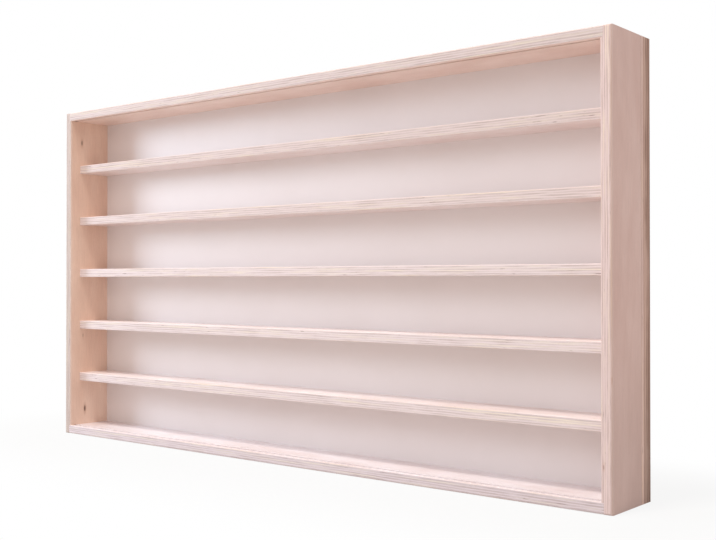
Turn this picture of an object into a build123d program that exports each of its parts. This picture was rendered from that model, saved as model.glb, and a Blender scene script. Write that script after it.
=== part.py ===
# A wall display case: a plywood box with fixed shelves and a white back, hung from a batten frame.
# Sizes are in millimetres. X runs along the case, Y from its front to the wall, Z up.
# The origin is the middle of the case's footprint, level with its underside.
import os

from build123d import *

os.makedirs("parts", exist_ok=True)

# The plywood box and its shelves
case_width = 900
board_thickness = 12
board_depth = 68
compartment_height = 67
shelf_count = 5
arris_radius = 0.8
corner_radius = 2

# The housings that hold the ends of the boards and shelves in the sides
housing_depth = 3
housing_stop = 8

# The groove for a clear front pane, in the top and bottom boards
groove_width = 4.5
groove_lip = 6
top_groove_depth = 8
bottom_groove_depth = 4.5
pane_to_shelf_gap = 6.5

# The white back panel and the batten frame behind it
back_thickness = 6
batten_thickness = 16
upright_width = 30
top_rail_height = 50
bottom_rail_height = 30
batten_arris_radius = 1

# The dowels in the four corner joints
dowel_diameter = 6
dowel_length = 26
dowel_side_bite = 6
dowel_from_shelf_front = 10
dowel_from_rear = 12
dowel_end_chamfer = 0.8

# The screws, which are all countersunk from the rear with a head of 90 degrees
frame_screw_diameter = 3.5
frame_screw_head = 7
frame_screw_length = 40
frame_screw_end_margin = 45
frame_screws_per_side = 4
frame_screws_per_board = 5
shelf_screw_diameter = 3
shelf_screw_head = 5.6
shelf_screw_length = 25
shelf_screw_end_margin = 150
shelf_screws_per_shelf = 3
hanger_screw_diameter = 3
hanger_screw_head = 5.6
hanger_screw_length = 12
head_angle = 90
recess_depth = 1.2
recess_arm_width = 0.9
recess_span_share = 0.6

# The keyhole hanger plates in the top rail, each centred at a margin from its end of the case
hanger_end_margin = 150
plate_width = 42
plate_height = 30
plate_thickness = 2
plate_corner_radius = 4
plate_gap = 0.3
plate_screw_spacing = 31
entry_diameter = 9.5
slot_width = 5
slot_rise = 10
pocket_wall = 2
pocket_depth = 9

# Clearances
hole_clearance = 0.05
hole_spare_depth = 1
same_place = 0.01

# Places that follow from the sizes
pitch = compartment_height + board_thickness
case_height = (shelf_count + 1) * pitch + board_thickness
case_depth = board_depth + back_thickness + batten_thickness
front_y = -case_depth / 2
panel_y = front_y + board_depth
batten_y = panel_y + back_thickness
wall_y = batten_y + batten_thickness
inner_x = case_width / 2 - board_thickness
board_end_x = inner_x + housing_depth
board_length = 2 * board_end_x
shelf_front_y = front_y + groove_lip + groove_width + pane_to_shelf_gap
housing_front_y = shelf_front_y + housing_stop
shelf_levels = [(i + 1) * pitch for i in range(shelf_count)]
top_board_z = case_height - board_thickness
frame_pilot_depth = frame_screw_length - batten_thickness - back_thickness + hole_spare_depth
shelf_pilot_depth = shelf_screw_length - back_thickness + hole_spare_depth
hanger_pilot_depth = hanger_screw_length - plate_thickness + hole_spare_depth
hanger_z = top_board_z - (top_rail_height - board_thickness) / 2


def evenly(start, end, count):
    """Places at equal steps from start to end."""
    return [start + (end - start) * i / (count - 1) for i in range(count)]


def edges_at(shape, axis, place):
    """The edges of a shape whose middle lies at one place along an axis."""
    return shape.edges().filter_by_position(axis, place - same_place, place + same_place)


def save(piece, name):
    """Label a finished piece and write it to its own file."""
    piece.part.label = name
    export_step(piece.part, f"parts/{name}.step")


# Where the screws, dowels and hangers are, as (x, z) on a plane across the case, or (y, z) for dowels
side_screw_x = case_width / 2 - board_thickness / 2
side_screw_points = [
    (x, z)
    for x in (-side_screw_x, side_screw_x)
    for z in evenly(frame_screw_end_margin, case_height - frame_screw_end_margin, frame_screws_per_side)
]
board_screw_x = case_width / 2 - upright_width - frame_screw_end_margin
board_screw_xs = evenly(-board_screw_x, board_screw_x, frame_screws_per_board)
bottom_screw_points = [(x, board_thickness / 2) for x in board_screw_xs]
top_screw_points = [(x, case_height - board_thickness / 2) for x in board_screw_xs]
frame_screw_points = side_screw_points + bottom_screw_points + top_screw_points
shelf_screw_x = case_width / 2 - shelf_screw_end_margin
shelf_screw_xs = evenly(-shelf_screw_x, shelf_screw_x, shelf_screws_per_shelf)
shelf_screw_points = [(x, z + board_thickness / 2) for z in shelf_levels for x in shelf_screw_xs]
dowel_ys = [shelf_front_y + dowel_from_shelf_front, panel_y - dowel_from_rear]
dowel_zs = [board_thickness / 2, case_height - board_thickness / 2]
hanger_from_middle = case_width / 2 - hanger_end_margin
hanger_xs = {"left_hanger": -hanger_from_middle, "right_hanger": hanger_from_middle}
hanger_screw_points = [
    (x + side * plate_screw_spacing / 2, hanger_z) for x in hanger_xs.values() for side in (-1, 1)
]


def make_side(name, hand):
    """One upright board of the box. Hand is -1 on the left and 1 on the right."""
    middle_y = (front_y + panel_y) / 2
    housing_x = hand * (inner_x + housing_depth / 2)
    with BuildPart() as side:
        with BuildSketch():
            with Locations((hand * (inner_x + board_thickness / 2), middle_y)):
                Rectangle(board_thickness, board_depth)
        extrude(amount=case_height)
        # A rebate at each end takes the bottom and top boards over their whole depth
        for z in (0, top_board_z):
            with BuildSketch(Plane.XY.offset(z)):
                with Locations((housing_x, middle_y)):
                    Rectangle(housing_depth, board_depth)
            extrude(amount=board_thickness, mode=Mode.SUBTRACT)
        # A housing for each shelf is open at the rear and stops short of the shelf's front
        for z in shelf_levels:
            with BuildSketch(Plane.XY.offset(z)):
                with Locations((housing_x, (housing_front_y + panel_y) / 2)):
                    Rectangle(housing_depth, panel_y - housing_front_y)
            extrude(amount=board_thickness, mode=Mode.SUBTRACT)
        # Blind holes for the dowels, and pilot holes for the screws that hold the batten frame
        with BuildSketch(Plane.YZ.offset(hand * board_end_x)):
            with Locations(*[(y, z) for y in dowel_ys for z in dowel_zs]):
                Circle(dowel_diameter / 2 + hole_clearance)
        extrude(amount=hand * dowel_side_bite, mode=Mode.SUBTRACT)
        with BuildSketch(Plane.XZ.offset(-panel_y)):
            with Locations(*[point for point in side_screw_points if point[0] * hand > 0]):
                Circle(frame_screw_diameter / 2 + hole_clearance)
        extrude(amount=frame_pilot_depth, mode=Mode.SUBTRACT)
        # The outer edges of the front face are rounded, its inner edge and the outer rear edge are eased
        front = side.faces().sort_by(Axis.Y)[0]
        outer_x = hand * case_width / 2
        rounded = edges_at(front, Axis.X, outer_x)
        rounded += edges_at(front, Axis.Z, 0) + edges_at(front, Axis.Z, case_height)
        fillet(rounded, corner_radius)
        front = side.faces().sort_by(Axis.Y)[0]
        rear = side.faces().sort_by(Axis.Y)[-1]
        fillet(edges_at(front, Axis.X, hand * inner_x) + edges_at(rear, Axis.X, outer_x), arris_radius)
    save(side, name)


make_side("left_side", -1)
make_side("right_side", 1)


def make_board(name, level, groove_depth, inner_face, outer_face, inward):
    """The bottom or top board, with the pane's groove cut into the face that looks inward."""
    middle_y = (front_y + panel_y) / 2
    groove_y = front_y + groove_lip + groove_width / 2
    groove_z = inner_face - inward * groove_depth / 2
    with BuildPart() as board:
        with BuildSketch(Plane.YZ.offset(-board_end_x)):
            with Locations((middle_y, level + board_thickness / 2)):
                Rectangle(board_depth, board_thickness)
            with Locations((groove_y, groove_z)):
                Rectangle(groove_width, groove_depth, mode=Mode.SUBTRACT)
        extrude(amount=board_length)
        for hand in (-1, 1):
            with BuildSketch(Plane.YZ.offset(hand * board_end_x)):
                with Locations(*[(y, level + board_thickness / 2) for y in dowel_ys]):
                    Circle(dowel_diameter / 2 + hole_clearance)
            depth = dowel_length - dowel_side_bite + hole_spare_depth
            extrude(amount=-hand * depth, mode=Mode.SUBTRACT)
        with BuildSketch(Plane.XZ.offset(-panel_y)):
            with Locations(*[(x, level + board_thickness / 2) for x in board_screw_xs]):
                Circle(frame_screw_diameter / 2 + hole_clearance)
        extrude(amount=frame_pilot_depth, mode=Mode.SUBTRACT)
        front = board.faces().sort_by(Axis.Y)[0]
        fillet(edges_at(front, Axis.Z, outer_face), corner_radius)
        front = board.faces().sort_by(Axis.Y)[0]
        rear = board.faces().sort_by(Axis.Y)[-1]
        fillet(edges_at(front, Axis.Z, inner_face) + edges_at(rear, Axis.Z, outer_face), arris_radius)
    save(board, name)


make_board("bottom_board", 0, bottom_groove_depth, board_thickness, 0, 1)
make_board("top_board", top_board_z, top_groove_depth, top_board_z, case_height, -1)


def make_shelf(name, level):
    """A fixed shelf. Its front corners are notched, so that the stopped housings stay hidden."""
    with BuildPart() as shelf:
        with BuildSketch(Plane.XY.offset(level)):
            with Locations((0, (shelf_front_y + panel_y) / 2)):
                Rectangle(board_length, panel_y - shelf_front_y)
            notch_x = inner_x + housing_depth / 2
            notch_y = shelf_front_y + housing_stop / 2
            with Locations((-notch_x, notch_y), (notch_x, notch_y)):
                Rectangle(housing_depth, housing_stop, mode=Mode.SUBTRACT)
        extrude(amount=board_thickness)
        with BuildSketch(Plane.XZ.offset(-panel_y)):
            with Locations(*[(x, level + board_thickness / 2) for x in shelf_screw_xs]):
                Circle(shelf_screw_diameter / 2 + hole_clearance)
        extrude(amount=shelf_pilot_depth, mode=Mode.SUBTRACT)
        front = shelf.faces().sort_by(Axis.Y)[0]
        eased = edges_at(front, Axis.Z, level) + edges_at(front, Axis.Z, level + board_thickness)
        fillet(eased, arris_radius)
    save(shelf, name)


for number, shelf_level in enumerate(shelf_levels, start=1):
    make_shelf(f"shelf_{number}", shelf_level)


# The back panel lies on the box's rear edges. Its screws for the shelves sink into its rear face.
with BuildPart() as back_panel:
    with BuildSketch(Plane.XZ.offset(-batten_y)):
        with Locations((0, case_height / 2)):
            Rectangle(case_width, case_height)
        with Locations(*frame_screw_points):
            Circle(frame_screw_diameter / 2 + hole_clearance, mode=Mode.SUBTRACT)
    extrude(amount=back_thickness)
    with Locations(Plane.back.offset(batten_y)):
        with Locations(*shelf_screw_points):
            CounterSinkHole(
                shelf_screw_diameter / 2 + hole_clearance,
                shelf_screw_head / 2 + hole_clearance,
                counter_sink_angle=head_angle,
            )
    eased = edges_at(back_panel, Axis.X, -case_width / 2) + edges_at(back_panel, Axis.X, case_width / 2)
    eased += edges_at(back_panel, Axis.Z, 0) + edges_at(back_panel, Axis.Z, case_height)
    fillet(eased.filter_by(Axis.Z) + eased.filter_by(Axis.X), arris_radius)
save(back_panel, "back_panel")


def screw_holes(points):
    """Countersunk clearance holes for the frame screws, cut from the wall side of a batten."""
    with Locations(Plane.back.offset(wall_y)):
        with Locations(*points):
            CounterSinkHole(
                frame_screw_diameter / 2 + hole_clearance,
                frame_screw_head / 2 + hole_clearance,
                counter_sink_angle=head_angle,
            )


def make_upright(name, hand):
    """One upright batten, as tall as the case. Hand is -1 on the left and 1 on the right."""
    with BuildPart() as upright:
        with BuildSketch():
            with Locations((hand * (case_width - upright_width) / 2, (batten_y + wall_y) / 2)):
                Rectangle(upright_width, batten_thickness)
        extrude(amount=case_height)
        screw_holes([(-x, z) for x, z in side_screw_points if x * hand > 0])
        outer_edges = edges_at(upright, Axis.X, hand * case_width / 2).filter_by(Axis.Z)
        fillet(outer_edges, batten_arris_radius)
    save(upright, name)


make_upright("left_upright", -1)
make_upright("right_upright", 1)

rail_length = case_width - 2 * upright_width

with BuildPart() as bottom_rail:
    with BuildSketch(Plane.XZ.offset(-wall_y)):
        with Locations((0, bottom_rail_height / 2)):
            Rectangle(rail_length, bottom_rail_height)
    extrude(amount=batten_thickness)
    screw_holes(bottom_screw_points)
    fillet(edges_at(bottom_rail, Axis.Z, 0).filter_by(Axis.X), batten_arris_radius)
save(bottom_rail, "bottom_rail")

# The top rail has a shallow recess for each hanger plate and a deeper pocket for the wall screw's head
pocket_width = entry_diameter + 2 * pocket_wall
pocket_height = slot_rise + entry_diameter + 2 * pocket_wall
with BuildPart() as top_rail:
    with BuildSketch(Plane.XZ.offset(-wall_y)):
        with Locations((0, case_height - top_rail_height / 2)):
            Rectangle(rail_length, top_rail_height)
    extrude(amount=batten_thickness)
    screw_holes(top_screw_points)
    with BuildSketch(Plane.XZ.offset(-wall_y)):
        with Locations(*[(x, hanger_z) for x in hanger_xs.values()]):
            RectangleRounded(
                plate_width + 2 * plate_gap, plate_height + 2 * plate_gap, plate_corner_radius + plate_gap
            )
    extrude(amount=plate_thickness, mode=Mode.SUBTRACT)
    with BuildSketch(Plane.XZ.offset(-wall_y)):
        with Locations(*[(x, hanger_z) for x in hanger_xs.values()]):
            RectangleRounded(pocket_width, pocket_height, pocket_wall)
    extrude(amount=plate_thickness + pocket_depth, mode=Mode.SUBTRACT)
    with BuildSketch(Plane.XZ.offset(-wall_y + plate_thickness)):
        with Locations(*hanger_screw_points):
            Circle(hanger_screw_diameter / 2 + hole_clearance)
    extrude(amount=hanger_pilot_depth, mode=Mode.SUBTRACT)
    fillet(edges_at(top_rail, Axis.Z, case_height).filter_by(Axis.X), batten_arris_radius)
save(top_rail, "top_rail")

# Each keyhole takes a wall screw's head at its round entry, which then slides up the slot
entry_z = hanger_z - slot_rise / 2
for hanger_name, hanger_x in hanger_xs.items():
    with BuildPart() as hanger:
        with BuildSketch(Plane.XZ.offset(-wall_y)):
            with Locations((hanger_x, hanger_z)):
                RectangleRounded(plate_width, plate_height, plate_corner_radius)
            with Locations((hanger_x, entry_z)):
                Circle(entry_diameter / 2, mode=Mode.SUBTRACT)
            with Locations((hanger_x, entry_z + slot_rise / 2)):
                SlotCenterToCenter(slot_rise, slot_width, rotation=90, mode=Mode.SUBTRACT)
        extrude(amount=plate_thickness)
        with Locations(Plane.back.offset(wall_y)):
            with Locations(*[(-x, z) for x, z in hanger_screw_points if x * hanger_x > 0]):
                CounterSinkHole(
                    hanger_screw_diameter / 2 + hole_clearance,
                    hanger_screw_head / 2 + hole_clearance,
                    counter_sink_angle=head_angle,
                )
    save(hanger, hanger_name)


def make_screws(name, diameter, head, length, head_y, points):
    """A set of countersunk screws with their heads level with one plane and cross recesses."""
    head_height = (head - diameter) / 2
    tip_height = diameter / 2
    with BuildPart(mode=Mode.PRIVATE) as screw:
        with BuildSketch(Plane.XY):
            with BuildLine():
                Polyline(
                    (0, 0),
                    (head / 2, 0),
                    (diameter / 2, -head_height),
                    (diameter / 2, tip_height - length),
                    (0, -length),
                    close=True,
                )
            make_face()
        revolve(axis=Axis.Y)
        with BuildSketch(Plane.XZ):
            Rectangle(head * recess_span_share, recess_arm_width)
            Rectangle(recess_arm_width, head * recess_span_share)
        extrude(amount=recess_depth, mode=Mode.SUBTRACT)
    with BuildPart() as screws:
        with Locations(*[(x, head_y, z) for x, z in points]):
            add(screw.part)
    save(screws, name)


make_screws(
    "frame_screws", frame_screw_diameter, frame_screw_head, frame_screw_length, wall_y, frame_screw_points
)
make_screws(
    "shelf_screws", shelf_screw_diameter, shelf_screw_head, shelf_screw_length, batten_y, shelf_screw_points
)
make_screws(
    "hanger_screws", hanger_screw_diameter, hanger_screw_head, hanger_screw_length, wall_y, hanger_screw_points
)

# The dowels cross each corner joint from the side into the end of the top or bottom board
with BuildPart() as corner_dowels:
    for hand in (-1, 1):
        with BuildSketch(Plane.YZ.offset(hand * (board_end_x + dowel_side_bite))):
            with Locations(*[(y, z) for y in dowel_ys for z in dowel_zs]):
                Circle(dowel_diameter / 2)
        extrude(amount=-hand * dowel_length)
    chamfer(corner_dowels.edges().filter_by(GeomType.CIRCLE), dowel_end_chamfer)
save(corner_dowels, "corner_dowels")
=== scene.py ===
# %% [markdown]
# # A wall display case, dressed for its picture
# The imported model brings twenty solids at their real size: a birch plywood box with five fixed
# shelves, a white back panel, a batten frame behind it, and the hangers, dowels and screws that
# hold it together. Their shapes are the real ones, down to the eased edges, so nothing is
# modelled again here. What is left is what the eye reads first: plywood that shows a calm face
# and a striped edge, a painted panel, raw battens, zinc, and soft light that fades towards the
# back of each compartment.

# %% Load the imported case
import math

import bpy
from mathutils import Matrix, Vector


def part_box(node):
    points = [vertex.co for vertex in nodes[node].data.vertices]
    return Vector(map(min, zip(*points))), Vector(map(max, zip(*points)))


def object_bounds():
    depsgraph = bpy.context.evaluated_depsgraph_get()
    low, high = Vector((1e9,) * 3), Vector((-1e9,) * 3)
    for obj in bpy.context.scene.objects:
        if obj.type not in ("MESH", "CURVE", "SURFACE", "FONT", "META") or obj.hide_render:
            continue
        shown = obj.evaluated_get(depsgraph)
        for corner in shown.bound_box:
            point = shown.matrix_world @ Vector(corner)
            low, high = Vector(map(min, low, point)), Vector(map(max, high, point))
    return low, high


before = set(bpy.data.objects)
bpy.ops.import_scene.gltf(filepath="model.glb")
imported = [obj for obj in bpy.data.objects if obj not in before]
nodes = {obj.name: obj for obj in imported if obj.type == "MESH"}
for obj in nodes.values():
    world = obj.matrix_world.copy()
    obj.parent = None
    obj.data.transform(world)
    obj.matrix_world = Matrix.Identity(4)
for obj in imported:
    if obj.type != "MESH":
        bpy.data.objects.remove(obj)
cad_low, cad_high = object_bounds()
print("case in mm:", [round(1000 * side) for side in cad_high - cad_low], "pieces:", len(nodes))

# %% [markdown]
# ## The camera
# The picture looks at the case from its front right, from a little under its middle. Matching a
# photograph by eye takes many tries, but a box gives its own camera away: the corners of its
# front and side fix where the camera stood, how far it was turned, and its focal length. Those
# values are used here as they were solved. The focal length comes in pixels of a picture 716
# wide, and the sensor turns it into the millimetres that a lens is sold by.

# %% Stand the camera where the corners say
PICTURE_WIDTH = 716
FOCAL_PIXELS = 1056.6
SENSOR_WIDTH = 36.0
CAMERA_PLACE = Vector((0.9170, -1.0081, 0.2325))
CAMERA_TURN = math.radians(39.38)
CAMERA_TILT = math.radians(0.535)

lens = bpy.data.cameras.new("camera")
lens.sensor_fit = "HORIZONTAL"
lens.sensor_width = SENSOR_WIDTH
lens.lens = FOCAL_PIXELS / PICTURE_WIDTH * SENSOR_WIDTH
camera = bpy.data.objects.new("camera", lens)
camera.location = CAMERA_PLACE
camera.rotation_euler = (math.pi / 2 + CAMERA_TILT, 0, CAMERA_TURN)
bpy.context.scene.collection.objects.link(camera)
bpy.context.scene.camera = camera
print("lens in mm:", round(lens.lens, 1))

# %% [markdown]
# ## Building materials from nodes
# A plywood finish takes dozens of small nodes. Adding them one by one hides the idea behind the
# wiring, so these helpers add a node, set it and join it in one call. A value may be a number or
# another node's socket, which is joined. Effects that several materials share go into node
# groups, with named inputs and outputs. Lengths are in metres. Most pairs of numbers say where a
# fade starts and where it ends, and three numbers called cells say how fine a noise is along each
# axis.

# %% Helpers for nodes
def join(tree, value, socket):
    """Join a socket to an input, or set the input to a plain value."""
    if isinstance(value, bpy.types.NodeSocket):
        tree.links.new(value, socket)
    else:
        socket.default_value = value


def node(tree, kind, values=(), **settings):
    """Add a node, set its options, and join or set its inputs by name or number."""
    added = tree.nodes.new(kind)
    for option, setting in settings.items():
        setattr(added, option, setting)
    for key, value in dict(values).items():
        join(tree, value, added.inputs[key])
    return added


def maths(tree, operation, *terms):
    """One step of arithmetic on numbers."""
    return node(tree, "ShaderNodeMath", enumerate(terms), operation=operation).outputs[0]


def vectors(tree, operation, *terms):
    """One step of arithmetic on vectors. A dot product gives a number."""
    step = node(tree, "ShaderNodeVectorMath", enumerate(terms), operation=operation)
    return step.outputs["Value" if operation == "DOT_PRODUCT" else "Vector"]


print("made the helpers join, node, maths and vectors")

# %% Helpers for fades, noise and colours
def fade(tree, value, low, high, start=0.0, end=1.0):
    """A soft step from start to end while the value goes from low to high."""
    values = {"Value": value, "From Min": low, "From Max": high, "To Min": start, "To Max": end}
    return node(tree, "ShaderNodeMapRange", values, interpolation_type="SMOOTHSTEP").outputs["Result"]


def noise(tree, point, stretch, detail=2.0, roughness=0.5):
    """Noise between 0 and 1, with stretch giving its cells per metre along each axis."""
    scaled = vectors(tree, "MULTIPLY", point, stretch)
    values = {"Vector": scaled, "Scale": 1.0, "Detail": detail, "Roughness": roughness}
    return node(tree, "ShaderNodeTexNoise", values).outputs["Fac"]


def blend(tree, share, first, second, number=False):
    """Mix two colours, or two numbers."""
    a, b, out = (2, 3, 0) if number else (6, 7, 2)
    kind = "FLOAT" if number else "RGBA"
    return node(tree, "ShaderNodeMix", {0: share, a: first, b: second}, data_type=kind).outputs[out]


def tint(tree, share, colour, by):
    """Multiply a colour by another one, in part."""
    values = {0: share, 6: colour, 7: by}
    return node(tree, "ShaderNodeMix", values, data_type="RGBA", blend_type="MULTIPLY").outputs[2]


def vector_of(tree, x, y, z):
    """Three numbers as one vector."""
    return node(tree, "ShaderNodeCombineXYZ", {0: x, 1: y, 2: z}).outputs[0]


def colour(code):
    """A colour given as a screen shows it, such as F0D0C0, as the light that Blender works with."""
    screen = [int(code[i:i + 2], 16) / 255 for i in (0, 2, 4)]
    light = [((c + 0.055) / 1.055) ** 2.4 if c > 0.04045 else c / 12.92 for c in screen]
    return (*light, 1.0)


print("F0D0C0 on screen is this much light:", [round(part, 3) for part in colour("F0D0C0")[:3]])

# %% Helpers for groups and materials
SOCKETS = {"value": "NodeSocketFloat", "vector": "NodeSocketVector", "colour": "NodeSocketColor"}


def new_group(name, inputs, outputs):
    """A node group with named sockets. Gives the group, its inputs and its outputs, ready to join."""
    group = bpy.data.node_groups.new(name, "ShaderNodeTree")
    for way, sockets in (("INPUT", inputs), ("OUTPUT", outputs)):
        for socket, kind in sockets.items():
            group.interface.new_socket(socket, in_out=way, socket_type=SOCKETS[kind])
    given = group.nodes.new("NodeGroupInput").outputs
    result = group.nodes.new("NodeGroupOutput").inputs
    return group, given, result


def use(tree, group, values):
    """Place a group in a material, or in another group, with its own values."""
    placed = tree.nodes.new("ShaderNodeGroup")
    placed.node_tree = group
    for key, value in values.items():
        join(tree, value, placed.inputs[key])
    return placed.outputs


def new_material(name):
    """A material with a Principled shader, and its node tree."""
    material = bpy.data.materials.new(name)
    material.use_nodes = True
    tree = material.node_tree
    return material, tree, tree.nodes["Principled BSDF"]


def dress(material, *names):
    """Give pieces of the case their material."""
    for name in names:
        for slot in nodes[name].material_slots:
            slot.material = material
    print(material.name, "on", ", ".join(names))


print("a group's sockets can be:", ", ".join(SOCKETS))

# %% [markdown]
# ## Where a point lies in its board
# A plank remembers the tree: grain runs along it, layers lie through it. A texture that only
# knows the world's X, Y and Z would run grain up one board and across the next. So each board
# gets its own space first: how far along it, across it and through it a point lies, measured in
# metres from one corner. The same group says which way the surface faces, and lights up the eased
# edges, because only there does a surface face two ways at once.

# %% The board space group
AXES = {"X": (1, 0, 0), "Y": (0, 1, 0), "Z": (0, 0, 1)}
EASED_FROM = (0.1, 0.5)
board_space, given, result = new_group(
    "board_space",
    {"Corner": "vector", "Length Axis": "vector", "Width Axis": "vector", "Thickness Axis": "vector"},
    {"Along": "value", "Across": "value", "Through": "value",
     "End Facing": "value", "Edge Facing": "value", "Face Facing": "value", "Eased Edge": "value"},
)
place = node(board_space, "ShaderNodeTexCoord").outputs
spot = vectors(board_space, "SUBTRACT", place["Object"], given["Corner"])
facings = []
for axis, distance, facing in (
    ("Length Axis", "Along", "End Facing"),
    ("Width Axis", "Across", "Edge Facing"),
    ("Thickness Axis", "Through", "Face Facing"),
):
    join(board_space, vectors(board_space, "DOT_PRODUCT", spot, given[axis]), result[distance])
    share = vectors(board_space, "DOT_PRODUCT", place["Normal"], given[axis])
    share = maths(board_space, "ABSOLUTE", share)
    join(board_space, share, result[facing])
    facings.append(share)
pairs = [maths(board_space, "MULTIPLY", facings[i], facings[j]) for i, j in ((0, 1), (1, 2), (0, 2))]
largest = maths(board_space, "MAXIMUM", maths(board_space, "MAXIMUM", pairs[0], pairs[1]), pairs[2])
join(board_space, fade(board_space, largest, *EASED_FROM), result["Eased Edge"])


def lay_out(tree, name, length, width, thickness):
    """The board space of one piece, from its own lowest corner. The three axes are letters."""
    values = {"Corner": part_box(name)[0]}
    for key, axis in (("Length Axis", length), ("Width Axis", width), ("Thickness Axis", thickness)):
        values[key] = AXES[axis]
    return use(tree, board_space, values)


print("board space gives:", [socket.name for socket in result if socket.name])

# %% [markdown]
# ## Birch plywood
# Birch ply is peeled veneer, glued in an odd number of layers whose grain crosses from one to the
# next. The knife follows the log round, so the face shows wide, wandering figure instead of
# straight rings, with short dark flecks. A cut edge shows every layer: pale where fibres run
# along it, browner and speckled where they end in it, with a hair of glue between. An image could
# hold one face, but not faces and edges that agree at every corner. A solid texture does both at
# once: it finds the layer first, turns the grain with it, and lets the surface cut it.

# %% The layers of a plywood board
PLY_GLUE = 0.00022
LAYER_WANDER = 0.0022
WANDER_CELLS = (18, 60, 90)
GLUE_CELLS = (28, 28, 3)
GLUE_SHOWS = (0.40, 0.66)

plywood_layers, given, result = new_group(
    "plywood_layers",
    {"Along": "value", "Across": "value", "Through": "value", "Thickness": "value",
     "Layers": "value", "Seed": "value"},
    {"Layer": "value", "Crossed": "value", "Glue": "value"},
)
flat = vector_of(plywood_layers, given["Along"], given["Across"], given["Seed"])
shifted = maths(plywood_layers, "ADD", given["Across"], given["Seed"])
solid = vector_of(plywood_layers, given["Along"], shifted, given["Through"])
wander = maths(plywood_layers, "SUBTRACT", noise(plywood_layers, solid, WANDER_CELLS), 0.5)
depth = maths(plywood_layers, "MULTIPLY_ADD", wander, LAYER_WANDER, given["Through"])
layer_height = maths(plywood_layers, "DIVIDE", given["Thickness"], given["Layers"])
height = maths(plywood_layers, "DIVIDE", depth, layer_height)
last = maths(plywood_layers, "SUBTRACT", given["Layers"], 1.0)
layer = maths(plywood_layers, "MAXIMUM", maths(plywood_layers, "FLOOR", height), 0.0)
layer = maths(plywood_layers, "MINIMUM", layer, last)
join(plywood_layers, layer, result["Layer"])
join(plywood_layers, maths(plywood_layers, "MODULO", layer, 2.0), result["Crossed"])
nearest = maths(plywood_layers, "ROUND", height)
off = maths(plywood_layers, "ABSOLUTE", maths(plywood_layers, "SUBTRACT", height, nearest))
line = fade(plywood_layers, maths(plywood_layers, "MULTIPLY", off, layer_height), 0.0, PLY_GLUE, 1.0, 0.0)
above = maths(plywood_layers, "GREATER_THAN", nearest, 0.5)
below = maths(plywood_layers, "LESS_THAN", nearest, maths(plywood_layers, "ADD", last, 0.5))
inside = maths(plywood_layers, "MULTIPLY", above, below)
along_line = vectors(plywood_layers, "ADD", flat, vector_of(plywood_layers, 0.0, 0.0, nearest))
broken = noise(plywood_layers, along_line, GLUE_CELLS, detail=2.0, roughness=0.6)
broken = fade(plywood_layers, broken, *GLUE_SHOWS)
line = maths(plywood_layers, "MULTIPLY", line, broken)
join(plywood_layers, maths(plywood_layers, "MULTIPLY", line, inside), result["Glue"])
print("plywood layers gives:", [socket.name for socket in result if socket.name])

# %% The fibres of birch
FIBRE_CELLS = (45, 1500, 1500)
FLECK_CELLS = (190, 2300, 2300)
FLECK_SHOWS = (0.64, 0.74)
HILL_CELLS = (1.9, 12, 12)
FIGURE_CONTOURS = 60.0
FIGURE_SHOWS = (0.1, 1.0)
CLOUD_CELLS = (9, 20, 20)
SPLIT_CELLS = (60, 60, 700)
SPLIT_SHOWS = (0.68, 0.74)
DRIFT_CELLS = (6, 6, 6)
RUN_OUT = 0.006
LAYER_STEP = 1.37

birch_fibres, given, result = new_group(
    "birch_fibres",
    {"Along": "value", "Across": "value", "Through": "value", "Crossed": "value",
     "Layer": "value", "Seed": "value"},
    {"Fibre": "value", "Fleck": "value", "Figure": "value", "Cloud": "value", "Split": "value"},
)
lengthwise = blend(birch_fibres, given["Crossed"], given["Along"], given["Across"], number=True)
sideways = blend(birch_fibres, given["Crossed"], given["Across"], given["Along"], number=True)
grain_point = vector_of(birch_fibres, lengthwise, sideways, given["Through"])
apart = maths(birch_fibres, "MULTIPLY_ADD", given["Layer"], LAYER_STEP, given["Seed"])
grain_point = vectors(birch_fibres, "ADD", grain_point, vector_of(birch_fibres, apart, apart, apart))
drift = maths(birch_fibres, "MULTIPLY", noise(birch_fibres, grain_point, DRIFT_CELLS, detail=0.0), RUN_OUT)
grain_point = vectors(birch_fibres, "ADD", grain_point, vector_of(birch_fibres, 0.0, drift, drift))
fibre = noise(birch_fibres, grain_point, FIBRE_CELLS, detail=3.0, roughness=0.6)
join(birch_fibres, fibre, result["Fibre"])
dashes = noise(birch_fibres, grain_point, FLECK_CELLS, detail=1.0)
join(birch_fibres, fade(birch_fibres, dashes, *FLECK_SHOWS), result["Fleck"])
hills = noise(birch_fibres, grain_point, HILL_CELLS, detail=2.0, roughness=0.45)
contours = maths(birch_fibres, "SINE", maths(birch_fibres, "MULTIPLY", hills, FIGURE_CONTOURS))
join(birch_fibres, fade(birch_fibres, contours, *FIGURE_SHOWS), result["Figure"])
join(birch_fibres, noise(birch_fibres, grain_point, CLOUD_CELLS, detail=3.0), result["Cloud"])
holes = noise(birch_fibres, grain_point, SPLIT_CELLS, detail=2.0)
join(birch_fibres, fade(birch_fibres, holes, *SPLIT_SHOWS), result["Split"])
print("birch fibres gives:", [socket.name for socket in result if socket.name])
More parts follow.
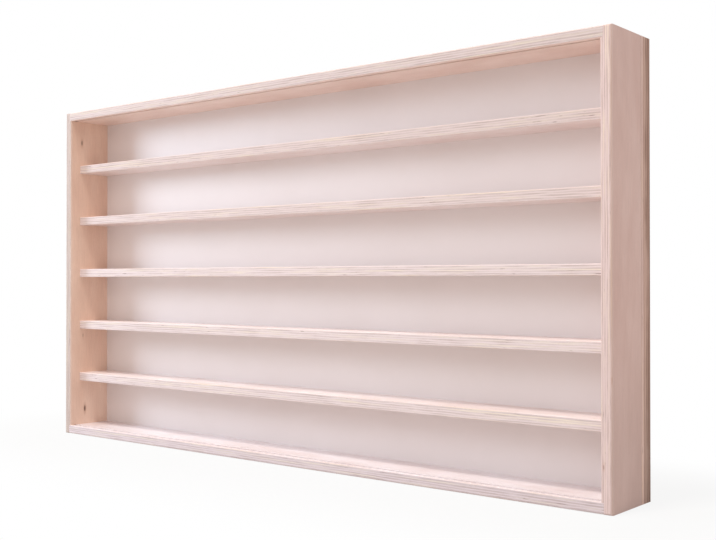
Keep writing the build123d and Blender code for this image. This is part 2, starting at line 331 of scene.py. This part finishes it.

# %% [markdown]
# ## The finish of birch plywood
# Faces and cut edges are finished differently. The faces have a thin lacquer and a calm colour,
# with a painted highlight that makes them a little paler along the front edge, where the eased
# edge catches the light. The cut edges are dull and striped, bolder in some places than in
# others. One exception keeps the pane's groove quiet: just inside its mouth, the cut goes through
# the outer veneer along its fibres and takes the face's paler colour, partly the veneer's own and
# partly painted light that lifts the shade inside the groove. The group takes a tone for each
# board's faces and one for its cuts, because sheets differ; some of these tones also hold painted
# light or shade, as noted where the boards are made. Hands from many days have darkened the
# eased edges.

# %% The colours of birch plywood
FACE_PALE = colour("F7E2D8")
FACE_WARM = colour("EBD0C4")
FACE_FIGURE = colour("E2C0B0")
# Painted highlight along the faces' front edge, where the eased edge catches the light.
FACE_EDGE_HIGHLIGHT = colour("F4E4DE")
CUT_LONG = colour("E2D1D1")
CUT_CREAM = colour("E7D8CB")
CUT_END = colour("C8B5B1")
BIRCH_FLECK = colour("A87860")
GLUE_BROWN = colour("94705F")
SPLIT_BROWN = colour("6B4637")
HANDLED = colour("D3B2A3")
FIBRE_DEEP = (0.93, 0.915, 0.905, 1)
FIBRE_HIGH = (1.03, 1.03, 1.03, 1)
FIGURE_SHARE = 0.12
GLUE_SHARE = 0.35
FLECK_SHARE = 0.22
SPLIT_SHARE = 0.6
HANDLED_SHARE = 0.5

birch_plywood, given, result = new_group(
    "birch_plywood",
    {"Along": "value", "Across": "value", "Through": "value", "End Facing": "value", "Edge Facing": "value",
     "Face Facing": "value", "Eased Edge": "value", "Thickness": "value", "Layers": "value", "Seed": "value",
     "Face Tone": "colour", "Cut Tone": "colour"},
    {"Color": "colour", "Roughness": "value", "Height": "value", "Lacquer": "value"},
)
shared = {key: given[key] for key in ("Along", "Across", "Through", "Seed")}
sheet_values = {"Thickness": given["Thickness"], "Layers": given["Layers"]}
plies = use(birch_plywood, plywood_layers, {**shared, **sheet_values})
wood = use(birch_plywood, birch_fibres, {**shared, "Crossed": plies["Crossed"], "Layer": plies["Layer"]})
print("birch plywood takes:", len(given) - 1, "values")

# %% Where birch plywood looks like a face, and where like a cut
FACE_FROM = (0.5, 0.85)
VENEER_FROM = (0.34, 0.36)
GROOVE_LIGHT_FROM = (0.003, 0.0045)

on_face = fade(birch_plywood, given["Face Facing"], *FACE_FROM)
from_middle = maths(birch_plywood, "MULTIPLY_ADD", given["Thickness"], -0.5, given["Through"])
from_middle = maths(birch_plywood, "ABSOLUTE", from_middle)
from_middle = maths(birch_plywood, "DIVIDE", from_middle, given["Thickness"])
# Inside the groove's mouth the outer veneer shows the face colour: partly the veneer's own colour, partly
# painted light that lifts the groove's shade.
veneer = maths(birch_plywood, "MULTIPLY", fade(birch_plywood, from_middle, *VENEER_FROM),
               fade(birch_plywood, given["Across"], *GROOVE_LIGHT_FROM))
veneer = maths(birch_plywood, "MULTIPLY", veneer, given["Edge Facing"])
on_face = maths(birch_plywood, "MAXIMUM", on_face, veneer)
on_cut = maths(birch_plywood, "SUBTRACT", 1.0, on_face)
print("a groove's wall shows veneer from mm behind the front:", 1000 * GROOVE_LIGHT_FROM[0])

# %% The face and the cut of birch plywood
WARM_CLOUDS = (0.3, 0.7)
CREAM_CLOUDS = (0.5, 0.7)
BOLD_CLOUDS = (0.35, 0.6)
BOLD_RANGE = (1.0, 0.3)
EDGE_HIGHLIGHT_REACH = 0.005
EDGE_HIGHLIGHT_SHARE = 0.4

face = blend(birch_plywood, fade(birch_plywood, wood["Cloud"], *WARM_CLOUDS), FACE_PALE, FACE_WARM)
figure = maths(birch_plywood, "MULTIPLY", wood["Figure"], FIGURE_SHARE)
face = blend(birch_plywood, figure, face, FACE_FIGURE)
face = tint(birch_plywood, 1.0, face, given["Face Tone"])
# Painted highlight: the face turns paler towards its front edge.
edge_highlight = fade(birch_plywood, given["Across"], 0.0, EDGE_HIGHLIGHT_REACH, EDGE_HIGHLIGHT_SHARE, 0.0)
face = blend(birch_plywood, edge_highlight, face, FACE_EDGE_HIGHLIGHT)
end_grain = blend(birch_plywood, plies["Crossed"], given["End Facing"], given["Edge Facing"], number=True)
bold = fade(birch_plywood, wood["Cloud"], *BOLD_CLOUDS, *BOLD_RANGE)
along_cut = blend(birch_plywood, fade(birch_plywood, wood["Cloud"], *CREAM_CLOUDS), CUT_LONG, CUT_CREAM)
cut = blend(birch_plywood, maths(birch_plywood, "MULTIPLY", end_grain, bold), along_cut, CUT_END)
cut = blend(birch_plywood, maths(birch_plywood, "MULTIPLY", plies["Glue"], GLUE_SHARE), cut, GLUE_BROWN)
cut = tint(birch_plywood, 1.0, cut, given["Cut Tone"])
shown = blend(birch_plywood, on_face, cut, face)
print("faces are paler over mm behind the front:", 1000 * EDGE_HIGHLIGHT_REACH)

# %% Fibres, flecks, splits and handling, and how the surface feels
FIBRE_SPAN = (0.25, 0.75)
RUBBED_CLOUDS = (0.25, 0.75)
CUT_ROUGHNESS = 0.66
FACE_ROUGHNESS = 0.44
FIBRE_ROUGHNESS = 0.1
LACQUER_SHARE = 0.6
FLECK_HEIGHT = -0.8
SPLIT_HEIGHT = -3.0

fibre_tone = blend(birch_plywood, fade(birch_plywood, wood["Fibre"], *FIBRE_SPAN), FIBRE_DEEP, FIBRE_HIGH)
shown = tint(birch_plywood, 1.0, shown, fibre_tone)
fleck = maths(birch_plywood, "MULTIPLY", wood["Fleck"], FLECK_SHARE)
shown = blend(birch_plywood, fleck, shown, BIRCH_FLECK)
split = maths(birch_plywood, "MULTIPLY", wood["Split"], plies["Crossed"])
split = maths(birch_plywood, "MULTIPLY", split, on_cut)
shown = blend(birch_plywood, maths(birch_plywood, "MULTIPLY", split, SPLIT_SHARE), shown, SPLIT_BROWN)
rubbed = fade(birch_plywood, wood["Cloud"], *RUBBED_CLOUDS)
rubbed = maths(birch_plywood, "MULTIPLY", given["Eased Edge"], rubbed)
shown = blend(birch_plywood, maths(birch_plywood, "MULTIPLY", rubbed, HANDLED_SHARE), shown, HANDLED)
join(birch_plywood, shown, result["Color"])
rough = blend(birch_plywood, on_face, CUT_ROUGHNESS, FACE_ROUGHNESS, number=True)
rough = maths(birch_plywood, "MULTIPLY_ADD", wood["Fibre"], FIBRE_ROUGHNESS, rough)
join(birch_plywood, rough, result["Roughness"])
join(birch_plywood, maths(birch_plywood, "MULTIPLY", on_face, LACQUER_SHARE), result["Lacquer"])
relief = maths(birch_plywood, "MULTIPLY_ADD", wood["Fleck"], FLECK_HEIGHT, wood["Fibre"])
relief = maths(birch_plywood, "SUBTRACT", relief, maths(birch_plywood, "MULTIPLY", plies["Glue"], on_cut))
join(birch_plywood, maths(birch_plywood, "MULTIPLY_ADD", split, SPLIT_HEIGHT, relief), result["Height"])
print("birch plywood gives:", [socket.name for socket in result if socket.name])

# %% [markdown]
# ## Knots
# Small twigs left pin knots in the two sides: three in the left board's inner face, one of them
# faint, and two small ones by the right board's front edge. Each is a dark heart, drawn out along
# the grain. A painted dot would sit on the surface only, so the knot is a small solid, longer
# along the grain than across it, and whatever surface passes through it shows it. The group is
# used once for each knot.

# %% The knot group
pin_knot, given, result = new_group(
    "pin_knot",
    {"Color": "colour", "Along": "value", "Across": "value", "Through": "value",
     "Knot": "vector", "Size": "value", "Darkness": "value"},
    {"Color": "colour"},
)
KNOT_HEART = colour("5B3A2C")
KNOT_RING = colour("C08E72")
KNOT_DRAWN_OUT = 3.2
KNOT_CELLS = (500, 900, 900)
KNOT_LEAST_REACH = 0.75
KNOT_RAGGED_BY = 0.5
KNOT_HALO = (0.6, 2.6, 0.6, 0.0)
KNOT_CORE = (0.5, 1.1, 1.0, 0.0)
spot = vector_of(pin_knot, given["Along"], given["Across"], given["Through"])
away = vectors(pin_knot, "SUBTRACT", spot, given["Knot"])
ragged = noise(pin_knot, away, KNOT_CELLS)
ragged = maths(pin_knot, "MULTIPLY_ADD", ragged, KNOT_RAGGED_BY, KNOT_LEAST_REACH)
pressed = vectors(pin_knot, "MULTIPLY", away, (1 / KNOT_DRAWN_OUT, 1, 1))
reach = node(pin_knot, "ShaderNodeVectorMath", {0: pressed}, operation="LENGTH").outputs["Value"]
reach = maths(pin_knot, "DIVIDE", maths(pin_knot, "MULTIPLY", reach, ragged), given["Size"])
halo = maths(pin_knot, "MULTIPLY", fade(pin_knot, reach, *KNOT_HALO), given["Darkness"])
heart = maths(pin_knot, "MULTIPLY", fade(pin_knot, reach, *KNOT_CORE), given["Darkness"])
ringed = blend(pin_knot, halo, given["Color"], KNOT_RING)
join(pin_knot, blend(pin_knot, heart, ringed, KNOT_HEART), result["Color"])
print("a knot takes:", [socket.name for socket in given if socket.name])

# %% [markdown]
# ## The darker foot
# The right side of the case is a shade deeper near its foot, on the board as on the batten behind
# it. That is painted shade, where less light reaches the lower part. Two materials need that, so it
# is a group: a tint that fades out a little under half-way up.

# %% The darker foot group
FOOT_REACH = 0.22

painted_foot_shade, given, result = new_group(
    "painted_foot_shade",
    {"Color": "colour", "Along": "value", "Share": "value", "Foot Tone": "colour"},
    {"Color": "colour"},
)
# Painted shade: strongest at the foot, fading out upward.
low_share = fade(painted_foot_shade, given["Along"], 0.0, FOOT_REACH, 1.0, 0.0)
low_share = maths(painted_foot_shade, "MULTIPLY", low_share, given["Share"])
join(painted_foot_shade, tint(painted_foot_shade, low_share, given["Color"], given["Foot Tone"]), result["Color"])
print("dark foot reaches in mm:", round(1000 * FOOT_REACH))

# %% [markdown]
# ## The nine boards
# Every board is the same sheet material, but no two were cut from the same place. One function
# makes them all: it lays out the board's space, gives the plywood group a seed and tones of its
# own, and adds the knots that this board has. Where a board ends inside the sides, a joint line
# as fine as a hair shows. The right side's outer face and the top board's upper face have a
# deeper tone than their other faces. That is painted shade: it darkens the right side's shaded
# outer face and keeps the high lamp from washing out the top.

# %% Joint lines and the foot
JOINT_LINE = 0.0004
JOINT_DARKNESS = 0.6


def joint_lines(tree, shown, name, length, along):
    """Draw a fine dark line at each end of a board that ends inside the sides."""
    low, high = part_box(name)
    board_length = (high - low)["XYZ".index(length)]
    from_end = maths(tree, "MINIMUM", along, maths(tree, "SUBTRACT", board_length, along))
    line = fade(tree, from_end, 0.0, JOINT_LINE, JOINT_DARKNESS, 0.0)
    return blend(tree, line, shown, GLUE_BROWN)


def paint_foot_shade(tree, shown, along, share, foot):
    """Darken a piece towards its foot by the tone given: painted shade."""
    values = {"Color": shown, "Along": along, "Share": share, "Foot Tone": foot}
    return use(tree, painted_foot_shade, values)["Color"]


print("a joint line in mm:", 1000 * JOINT_LINE)

# %% The material of one board
PASSED_ON = ("Along", "Across", "Through", "End Facing", "Edge Facing", "Face Facing", "Eased Edge")
BOARD_LAYERS = 9
BOARD_THICKNESS = 0.012
LACQUER_ROUGHNESS = 0.32
BOARD_BUMP = 0.35
BOARD_RELIEF = 0.00012


def birch_board(name, axes, seed, face, cut, far_face_shade=None, knots=(), housed=True, foot=None):
    """A plywood board's material. The axes are letters: length, width, thickness. The face tone is for
    the lower or left face, and for the other one too unless that has a tone of its own, which is
    painted shade. A housed board ends inside the sides and shows a joint line at each end."""
    material, tree, shader = new_material("birch_plywood_" + name)
    space = lay_out(tree, name, *axes)
    # A far face with a tone of its own carries painted shade.
    far = maths(tree, "GREATER_THAN", space["Through"], 0.5 * BOARD_THICKNESS)
    face_tone = blend(tree, far, (*face, 1), (*(far_face_shade or face), 1))
    own = {"Thickness": BOARD_THICKNESS, "Layers": float(BOARD_LAYERS), "Seed": seed,
           "Face Tone": face_tone, "Cut Tone": (*cut, 1)}
    finish = use(tree, birch_plywood, {**{key: space[key] for key in PASSED_ON}, **own})
    shown = finish["Color"]
    for knot in knots:
        placed = {key: space[key] for key in ("Along", "Across", "Through")}
        shown = use(tree, pin_knot, {"Color": shown, **placed, **knot})["Color"]
    if housed:
        shown = joint_lines(tree, shown, name, axes[0], space["Along"])
    # A foot tone is painted shade towards the foot.
    if foot:
        shown = paint_foot_shade(tree, shown, space["Along"], space["Face Facing"], foot)
    join(tree, shown, shader.inputs["Base Color"])
    join(tree, finish["Roughness"], shader.inputs["Roughness"])
    join(tree, finish["Lacquer"], shader.inputs["Coat Weight"])
    shader.inputs["Coat Roughness"].default_value = LACQUER_ROUGHNESS
    relief = {"Height": finish["Height"], "Strength": BOARD_BUMP, "Distance": BOARD_RELIEF}
    join(tree, node(tree, "ShaderNodeBump", relief).outputs["Normal"], shader.inputs["Normal"])
    dress(material, name)


print("a layer of a board in mm:", round(1000 * BOARD_THICKNESS / BOARD_LAYERS, 2))

# %% The knots of the two sides
def face_knot(along, across, through, size, darkness):
    """The values that place one knot in a board, in metres from the board's lowest corner."""
    return {"Knot": (along, across, through), "Size": size, "Darkness": darkness}


LEFT_KNOTS = [
    face_knot(0.4423, 0.0201, BOARD_THICKNESS, 0.0014, 0.62),
    face_knot(0.0355, 0.0264, BOARD_THICKNESS, 0.0016, 0.95),
    face_knot(0.1477, 0.0228, BOARD_THICKNESS, 0.0010, 0.35),
]
RIGHT_KNOTS = [
    face_knot(0.0471, 0.0, 0.0027, 0.0009, 0.38),
    face_knot(0.1333, 0.0, BOARD_THICKNESS, 0.0008, 0.6),
]
print("knots on the left and on the right:", len(LEFT_KNOTS), len(RIGHT_KNOTS))

# %% Make and dress the boards
UPRIGHT = ("Z", "Y", "X")
LYING = ("X", "Y", "Z")
TOP_SEED = 14.2
SHELF_SEED_STEP = 2.9
# The shelves' face tone is partly the sheet's own and partly a painted sheen that whitens the lit tops.
SHELF_TONE_AND_SHEEN = (0.99, 1.07, 1.17)
SHELF_CUTS = [(1.0, 1.01, 1.02)] * 3 + [(0.94, 0.93, 0.92), (0.89, 0.87, 0.855)]

birch_board("left_side", UPRIGHT, seed=3.1, face=(1.03, 0.95, 0.86), cut=(0.75, 0.73, 0.68),
            knots=LEFT_KNOTS, housed=False)
# The right side's far face tone is painted shade on its outer face.
birch_board("right_side", UPRIGHT, seed=7.7, face=(0.95, 0.87, 0.82), cut=(0.975, 0.91, 0.89),
            # The foot tone given here is painted shade towards the right side's foot.
            far_face_shade=(0.853, 0.698, 0.694), knots=RIGHT_KNOTS, housed=False, foot=(0.80, 0.79, 0.78, 1.0))
# The bottom board's face tone is partly the sheet's own and partly a painted sheen that whitens its lit top.
birch_board("bottom_board", LYING, seed=11.3, face=(0.97, 1.1, 1.26), cut=(0.915, 0.937, 0.988))
# The top board's far face tone is painted shade that keeps the high lamp from washing out its top.
birch_board("top_board", LYING, seed=TOP_SEED, face=(1.07, 1.03, 1.02), cut=(0.87, 0.86, 0.85),
            far_face_shade=(0.80, 0.79, 0.80))
for count, shelf_cut in enumerate(SHELF_CUTS, start=1):
    shelf_seed = TOP_SEED + SHELF_SEED_STEP * count
    birch_board(f"shelf_{count}", LYING, seed=shelf_seed, face=SHELF_TONE_AND_SHEEN, cut=shelf_cut)

# %% [markdown]
# ## The white back panel
# The back is a thin panel with a white coat on the face that the collection stands against. Its
# rear and its edges stay raw, and the light band on the case's side is such an edge. The coat is
# under a fifth of a millimetre thick, so the same solid texture serves: white up to that depth,
# plywood below. A roller leaves a fine stipple in paint, too small to see from afar, but it keeps
# the surface from looking like plastic.

# %% Make and dress the back panel
COAT_DEPTH = 0.0002
COAT_WHITE = colour("ECE2E1")
COAT_GREY = colour("E6DCDA")
COAT_ROUGHNESS = 0.42
COAT_CELLS = (14, 14, 14)
STIPPLE_CELLS = (900, 900, 900)
COAT_BUMP = 0.25
COAT_RELIEF = 0.0001
PANEL_THICKNESS = 0.006
PANEL_LAYERS = 5
PANEL_SEED = 41.7
PANEL_REAR_TONE = (0.85, 0.75, 0.7, 1)
PANEL_CUT_TONE = (1.18, 1.04, 0.98, 1)

material, tree, shader = new_material("white_coated_panel")
space = lay_out(tree, "back_panel", "X", "Z", "Y")
own = {"Thickness": PANEL_THICKNESS, "Layers": float(PANEL_LAYERS), "Seed": PANEL_SEED,
       "Face Tone": PANEL_REAR_TONE, "Cut Tone": PANEL_CUT_TONE}
raw = use(tree, birch_plywood, {**{key: space[key] for key in PASSED_ON}, **own})
panel_point = vector_of(tree, space["Along"], space["Across"], space["Through"])
coat = blend(tree, noise(tree, panel_point, COAT_CELLS, detail=4.0, roughness=0.6), COAT_WHITE, COAT_GREY)
stipple = noise(tree, panel_point, STIPPLE_CELLS, detail=1.0)
bare = fade(tree, space["Through"], 0.5 * COAT_DEPTH, COAT_DEPTH)
join(tree, blend(tree, bare, coat, raw["Color"]), shader.inputs["Base Color"])
join(tree, blend(tree, bare, COAT_ROUGHNESS, raw["Roughness"], number=True), shader.inputs["Roughness"])
relief = blend(tree, bare, stipple, raw["Height"], number=True)
bump = node(tree, "ShaderNodeBump", {"Height": relief, "Strength": COAT_BUMP, "Distance": COAT_RELIEF})
join(tree, bump.outputs["Normal"], shader.inputs["Normal"])
dress(material, "back_panel")

# %% [markdown]
# ## The batten frame
# Behind the panel stands a frame of solid battens. The one on the right shows as a brown strip
# beside the pale plywood, with dark streaks that wander over its height. Solid timber isn't
# layered: it grew in rings round a pith that usually lies outside a thin batten. So rings are
# drawn by the distance from such a line, and the darker heartwood takes over beyond a ragged
# border. Four battens share the group, and each has a seed of its own.

# %% The colours of the battens
SAP_LIGHT = colour("E4C4B9")
SAP_DARK = colour("CFAA9F")
HEART_LIGHT = colour("C09C8F")
HEART_DARK = colour("8A695D")
END_GRAIN_TONE = (0.72, 0.68, 0.64, 1)
BATTEN_FIBRE_DEEP = (0.8, 0.78, 0.76, 1)
BATTEN_FIBRE_HIGH = (1.1, 1.08, 1.06, 1)
print("sapwood and heartwood in light:", [round(tone[0], 2) for tone in (SAP_LIGHT, HEART_LIGHT)])

# %% The timber of the battens
RING_SPACING = 0.003
PITH_BESIDE = 0.012
PITH_BELOW = 0.03
BEND_CELLS = (3.2, 9, 9)
BEND_DEPTH = 0.032
BATTEN_FIBRE_CELLS = (35, 1300, 1300)
BORDER_CELLS = (11, 25, 25)
BORDER_DEPTH = 0.028
HEART_FROM = (0.001, 0.013)
LATE_WOOD = (0.35, 0.95)
LATE_WOOD_HEIGHT = -0.4
BATTEN_ROUGHNESS = 0.6
BATTEN_FIBRE_ROUGHNESS = 0.2

batten_timber, given, result = new_group(
    "batten_timber",
    {"Along": "value", "Across": "value", "Through": "value", "End Facing": "value", "Seed": "value"},
    {"Color": "colour", "Roughness": "value", "Height": "value"},
)
spot = vector_of(batten_timber, given["Along"], given["Across"], given["Through"])
seed = given["Seed"]
spot = vectors(batten_timber, "ADD", spot, vector_of(batten_timber, seed, seed, seed))
bend = maths(batten_timber, "SUBTRACT", noise(batten_timber, spot, BEND_CELLS), 0.5)
bowed = maths(batten_timber, "MULTIPLY_ADD", bend, BEND_DEPTH, given["Through"])
from_pith = vector_of(batten_timber, 0.0, maths(batten_timber, "ADD", given["Across"], PITH_BESIDE),
                      maths(batten_timber, "ADD", bowed, PITH_BELOW))
radius = node(batten_timber, "ShaderNodeVectorMath", {0: from_pith}, operation="LENGTH").outputs["Value"]
ring = maths(batten_timber, "FRACT", maths(batten_timber, "DIVIDE", radius, RING_SPACING))
late = fade(batten_timber, ring, *LATE_WOOD)
fibre = noise(batten_timber, spot, BATTEN_FIBRE_CELLS, detail=3.0, roughness=0.6)
border = noise(batten_timber, spot, BORDER_CELLS, detail=3.0, roughness=0.6)
border = maths(batten_timber, "SUBTRACT", border, 0.5)
heart_depth = maths(batten_timber, "MULTIPLY_ADD", border, BORDER_DEPTH, given["Through"])
heart = fade(batten_timber, heart_depth, *HEART_FROM)
sapwood = blend(batten_timber, late, SAP_LIGHT, SAP_DARK)
heartwood = blend(batten_timber, late, HEART_LIGHT, HEART_DARK)
shown = blend(batten_timber, heart, sapwood, heartwood)
fibre_tone = blend(batten_timber, fibre, BATTEN_FIBRE_DEEP, BATTEN_FIBRE_HIGH)
shown = tint(batten_timber, 1.0, shown, fibre_tone)
shown = tint(batten_timber, given["End Facing"], shown, END_GRAIN_TONE)
join(batten_timber, shown, result["Color"])
rough = maths(batten_timber, "MULTIPLY_ADD", fibre, BATTEN_FIBRE_ROUGHNESS, BATTEN_ROUGHNESS)
join(batten_timber, rough, result["Roughness"])
join(batten_timber, maths(batten_timber, "MULTIPLY_ADD", late, LATE_WOOD_HEIGHT, fibre), result["Height"])
print("batten timber gives:", [socket.name for socket in result if socket.name])

# %% Make and dress the battens
BATTEN_BUMP = 0.5
BATTEN_RELIEF = 0.0002


def batten(name, length, width, seed, foot=None):
    """One batten's material. Its thickness always runs from the panel to the wall."""
    material, tree, shader = new_material("batten_wood_" + name)
    space = lay_out(tree, name, length, width, "Y")
    passed = {key: space[key] for key in ("Along", "Across", "Through", "End Facing")}
    finish = use(tree, batten_timber, {**passed, "Seed": seed})
    shown = finish["Color"]
    # A foot tone is painted shade towards the foot.
    if foot:
        shown = paint_foot_shade(tree, shown, space["Along"], 1.0, foot)
    join(tree, shown, shader.inputs["Base Color"])
    join(tree, finish["Roughness"], shader.inputs["Roughness"])
    relief = {"Height": finish["Height"], "Strength": BATTEN_BUMP, "Distance": BATTEN_RELIEF}
    join(tree, node(tree, "ShaderNodeBump", relief).outputs["Normal"], shader.inputs["Normal"])
    dress(material, name)


batten("left_upright", "Z", "X", seed=2.3)
# Painted shade towards the right batten's foot.
batten("right_upright", "Z", "X", seed=5.9, foot=(0.74, 0.74, 0.74, 1.0))
batten("bottom_rail", "X", "Z", seed=8.1)
batten("top_rail", "X", "Z", seed=12.7)

# %% [markdown]
# ## Dowels
# The dowels sit inside the corner joints, where nobody sees them, yet they are real pieces and
# get their own wood. A dowel is turned from solid birch. The plywood group makes that too: with
# one single layer there is no glue line and no crossed grain. All eight share one space, so the
# grain runs along the case in each of them.

# %% Make and dress the dowels
DOWEL_SEED = 60.1
PLAIN = (1.0, 1.0, 1.0, 1.0)

material, tree, shader = new_material("turned_birch")
space = lay_out(tree, "corner_dowels", "X", "Y", "Z")
own = {"Thickness": BOARD_THICKNESS, "Layers": 1.0, "Seed": DOWEL_SEED,
       "Face Tone": PLAIN, "Cut Tone": PLAIN}
finish = use(tree, birch_plywood, {**{key: space[key] for key in PASSED_ON}, **own})
join(tree, finish["Color"], shader.inputs["Base Color"])
join(tree, finish["Roughness"], shader.inputs["Roughness"])
dress(material, "corner_dowels")

# %% [markdown]
# ## Zinc on steel
# The hangers are stamped plates and the screws are bought by the box, both steel with a thin coat
# of zinc. Zinc is a metal, so its colour lives in its reflections: the shader is fully metallic,
# and what varies is how rough it is. Cloudy patches come from the plating bath, and fine lines
# from the rollers that flattened the sheet.

# %% Make and dress the steel pieces
ZINC_LIGHT = colour("D3D6DA")
ZINC_DULL = colour("A9ADB3")
PATCH_CELLS = (160, 160, 160)
PATCH_SHOWS = (0.3, 0.7)
ROLLED_CELLS = (60, 5000, 5000)
ZINC_ROUGHNESS = 0.24
PATCH_ROUGHNESS = 0.12
ROLLED_ROUGHNESS = 0.18
ROLLED_BUMP = 0.15
ROLLED_RELIEF = 0.00005

material, tree, shader = new_material("zinc_coated_steel")
steel_point = node(tree, "ShaderNodeTexCoord").outputs["Object"]
patches = fade(tree, noise(tree, steel_point, PATCH_CELLS, detail=3.0), *PATCH_SHOWS)
rolled = noise(tree, steel_point, ROLLED_CELLS, detail=2.0)
join(tree, blend(tree, patches, ZINC_LIGHT, ZINC_DULL), shader.inputs["Base Color"])
rough = maths(tree, "MULTIPLY_ADD", patches, PATCH_ROUGHNESS, ZINC_ROUGHNESS)
rough = maths(tree, "MULTIPLY_ADD", rolled, ROLLED_ROUGHNESS, rough)
join(tree, rough, shader.inputs["Roughness"])
bump = node(tree, "ShaderNodeBump", {"Height": rolled, "Strength": ROLLED_BUMP, "Distance": ROLLED_RELIEF})
join(tree, bump.outputs["Normal"], shader.inputs["Normal"])
shader.inputs["Metallic"].default_value = 1.0
dress(material, "left_hanger", "right_hanger", "frame_screws", "shelf_screws", "hanger_screws")

# %% [markdown]
# ## The floor and the white room
# A cut-out picture on white has no room at all, but a shadow under the case says that it stands
# on something. The floor is a pale, dull sheet. To the camera it adds white of its own, most of
# what it shows beside the case and all of it from 30 cm away, so that it fades into the
# background and keeps only a light shadow. Every other ray sees plain paint. The world works in
# the same way: it lights the case at a plain level, a little warm, and shows as white to the
# camera and in what metal reflects.

# %% What only the camera sees
def seen_share(tree, share):
    """The share, for rays that reach the camera straight, off metal or through glass. Others get none."""
    ray = node(tree, "ShaderNodeLightPath").outputs
    seen = maths(tree, "MAXIMUM", ray["Is Camera Ray"], ray["Is Glossy Ray"])
    seen = maths(tree, "MAXIMUM", seen, ray["Is Transmission Ray"])
    return maths(tree, "MULTIPLY", seen, share)


WHITE = (1, 1, 1, 1)
print("the camera's white:", WHITE)

# %% The floor
FLOOR_PAINT = colour("C8C6C4")
FLOOR_ROUGHNESS = 0.9
FLOOR_WHITE_SHARE = 0.88
WHITE_FROM = 0.05
WHITE_AT = 0.30
FLOOR_HALF = 4.0

corners = [(x * FLOOR_HALF, y * FLOOR_HALF, 0) for x, y in ((-1, -1), (1, -1), (1, 1), (-1, 1))]
sheet = bpy.data.meshes.new("floor")
sheet.from_pydata(corners, [], [range(4)])
floor = bpy.data.objects.new("floor", sheet)
bpy.context.scene.collection.objects.link(floor)

material, tree, shader = new_material("floor_paint")
shader.inputs["Base Color"].default_value = FLOOR_PAINT
shader.inputs["Roughness"].default_value = FLOOR_ROUGHNESS
white = node(tree, "ShaderNodeEmission", {"Strength": 1.0})
floor_point = node(tree, "ShaderNodeTexCoord").outputs["Object"]
beside = vectors(tree, "SUBTRACT", vectors(tree, "ABSOLUTE", floor_point), (cad_high.x, cad_high.y, 0))
beside = vectors(tree, "MAXIMUM", beside, (0, 0, 0))
away = node(tree, "ShaderNodeVectorMath", {0: beside}, operation="LENGTH").outputs["Value"]
white_share = fade(tree, away, WHITE_FROM, WHITE_AT, FLOOR_WHITE_SHARE, 1.0)
mixed = node(tree, "ShaderNodeMixShader", {0: seen_share(tree, white_share)})
join(tree, shader.outputs[0], mixed.inputs[1])
join(tree, white.outputs[0], mixed.inputs[2])
join(tree, mixed.outputs[0], tree.nodes["Material Output"].inputs["Surface"])
sheet.materials.append(material)
print("floor in m:", 2 * FLOOR_HALF, "by", 2 * FLOOR_HALF)

# %% The world
ROOM_LIGHT = 0.60
ROOM_TINT = (1.08, 1.0, 0.92, 1.0)

world = bpy.data.worlds.new("white_room")
world.use_nodes = True
tree = world.node_tree
background = tree.nodes["Background"]
seen = seen_share(tree, 1.0)
join(tree, blend(tree, seen, ROOM_TINT, WHITE), background.inputs["Color"])
join(tree, blend(tree, seen, ROOM_LIGHT, 1.0, number=True), background.inputs["Strength"])
bpy.context.scene.world = world
print("room light:", ROOM_LIGHT)

# %% [markdown]
# ## Three lamps
# The shadows in the photograph say where its lamps stood. On the back panel, the left side throws
# a soft shadow as wide as the case is deep: a large screen well to the left, not far above the
# case. On the left side's inner face each shelf throws a slanted edge, steep and the same at
# every height: a second lamp, high up and further off, and the strongest. Faint shadows of the
# shelves on the panel ask for a third, small and weak, in front. Large lamps give soft edges. The
# screen is a little blue and the high lamp a little warm, as the photograph is in the places that
# each of them lights.

# %% Place the lamps
CASE_MIDDLE = (cad_low + cad_high) / 2


def soft_lamp(name, place, size, watts, glow):
    """A lamp with soft light, turned towards the case's middle. The camera doesn't see it."""
    light = bpy.data.lights.new(name, "AREA")
    light.shape = "RECTANGLE"
    light.size, light.size_y = size
    light.energy = watts
    light.color = glow
    lamp = bpy.data.objects.new(name, light)
    lamp.location = place
    lamp.rotation_euler = (CASE_MIDDLE - Vector(place)).to_track_quat("-Z", "Y").to_euler()
    lamp.visible_camera = False
    bpy.context.scene.collection.objects.link(lamp)
    print(name, "at", [round(x, 2) for x in place], "watts", watts)


COOL = (0.82, 1.0, 1.18)
NEUTRAL = (1.0, 1.0, 1.0)
WARM = (1.03, 1.01, 0.96)
soft_lamp("left_screen", (-2.19, -1.40, 1.06), size=(0.90, 0.90), watts=29.6, glow=COOL)
soft_lamp("front_lamp", (-0.30, -1.27, 1.17), size=(0.20, 0.82), watts=2.4, glow=NEUTRAL)
soft_lamp("high_lamp", (-0.10, -1.60, 3.85), size=(0.75, 0.65), watts=96.0, glow=WARM)

# %% [markdown]
# ## The view
# The standard view shows colours as they are written.

# %% Show colours as written
bpy.context.scene.view_settings.view_transform = "Standard"
